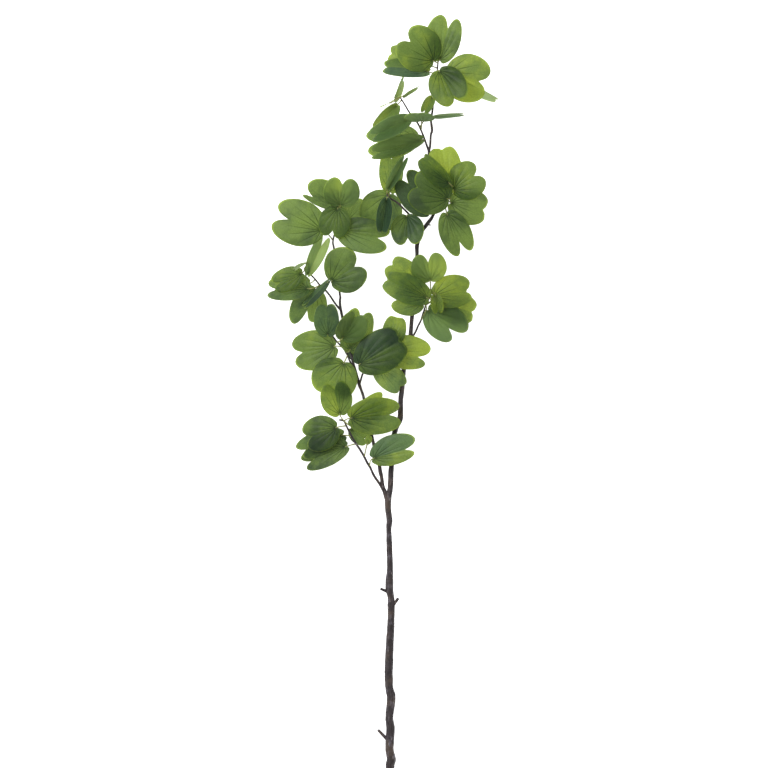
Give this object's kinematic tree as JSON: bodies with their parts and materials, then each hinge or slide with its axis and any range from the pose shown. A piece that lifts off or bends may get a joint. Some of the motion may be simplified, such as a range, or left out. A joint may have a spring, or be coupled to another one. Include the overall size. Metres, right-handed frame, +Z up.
{
  "type": "bauhinia branch",
  "caption": "Leafy bauhinia branch with cleft leaves on a bare woody stem, cut and laid on a surface.",
  "frame": {"origin": "small flat on the underside of the stem, 15 mm from its cut end, on the surface that the branch lies on", "axes": "+Y along the branch from the cut end to the crown, +X to the right seen from above, +Z up from the surface"},
  "size_m": [0.3859, 1.2691, 0.1625],
  "materials": {
    "bark": "rough dark brown bark with grey and purple tones",
    "leaf": "thin matt green leaf that lets light through, with darker veins"
  },
  "bodies": {
    "root": {"woody_stem": "bark", "crown_spray": "leaf", "upper_left_spray": "leaf", "right_rosette_spray": "leaf", "inner_spray": "leaf", "limb_tip_spray": "leaf", "left_side_spray": "leaf", "left_lower_spray": "leaf", "middle_spray": "leaf", "bottom_left_spray": "leaf", "right_spray": "leaf"}
  },
  "joints": []
}
